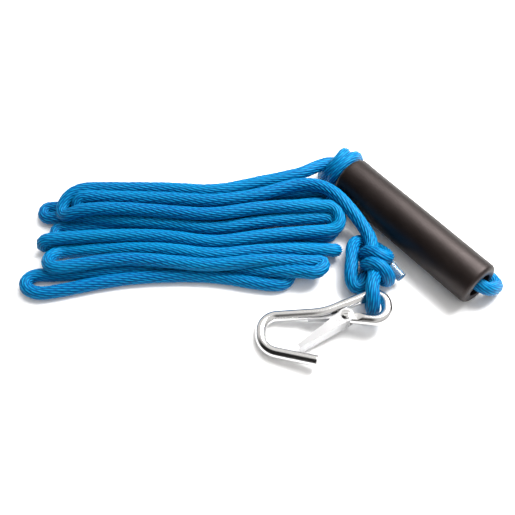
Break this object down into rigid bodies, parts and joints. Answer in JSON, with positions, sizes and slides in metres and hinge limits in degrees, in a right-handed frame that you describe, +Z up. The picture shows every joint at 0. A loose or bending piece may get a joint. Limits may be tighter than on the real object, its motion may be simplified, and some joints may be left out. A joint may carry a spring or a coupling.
{
  "type": "tow rope with hand grip and snap hook",
  "caption": "Braided tow rope folded in a hank, with a round foam hand grip on a loop at one end and a bent-bar snap hook tied on at the other.",
  "frame": {"origin": "centre of the box round the hand grip and the snap hook, at the level of the ground they lie on", "axes": "+Z up; +Y from the snap hook towards the knot of the hand grip; the hank lies on the -X side"},
  "size_m": [0.3278, 0.1813, 0.032],
  "materials": {
    "foam": "matte closed-cell foam",
    "core_plastic": "extruded tube",
    "zinc_bar": "bright zinc plating",
    "zinc_sheet": "bright zinc plating on pressed sheet",
    "spring_steel": "bare spring steel",
    "rope": "multifilament solid braid, slight sheen",
    "clear_sleeve": "clear shrink sleeve"
  },
  "bodies": {
    "rope": {"rope_hank": "rope", "hook_knot": "rope", "handle_knot": "rope", "lead_to_hook": "rope", "lead_to_handle": "rope", "handle_loop": "rope", "eye_loop": "rope", "hook_tail": "rope", "tail_sleeve": "clear_sleeve"},
    "grip": {"grip_sleeve": "foam", "core_tube": "core_plastic"},
    "hook": {"hook_body": "zinc_bar", "gate_rivet": "zinc_sheet"},
    "gate": {"gate": "zinc_sheet", "gate_spring": "spring_steel"}
  },
  "joints": [
    {"name": "grip_spin", "type": "hinge", "parent": "rope", "child": "grip", "pos_m": [0.0292, 0.0235, 0.016], "axis": [0.6428, -0.766, 0], "continuous": true},
    {"name": "hook_swing", "type": "hinge", "parent": "rope", "child": "hook", "pos_m": [-0.00225, -0.03015, 0.01321], "axis": [-0.9921, 0, -0.1253], "range_deg": [0, 80]},
    {"name": "gate_pivot", "type": "hinge", "parent": "hook", "child": "gate", "pos_m": [-0.0206, -0.0464, 0.01089], "axis": [0.1253, 0, -0.9921], "range_deg": [0, 20], "stiffness_Nm_per_rad": 0.3, "springref_deg": -20.05, "deforming": ["gate_spring"]}
  ]
}
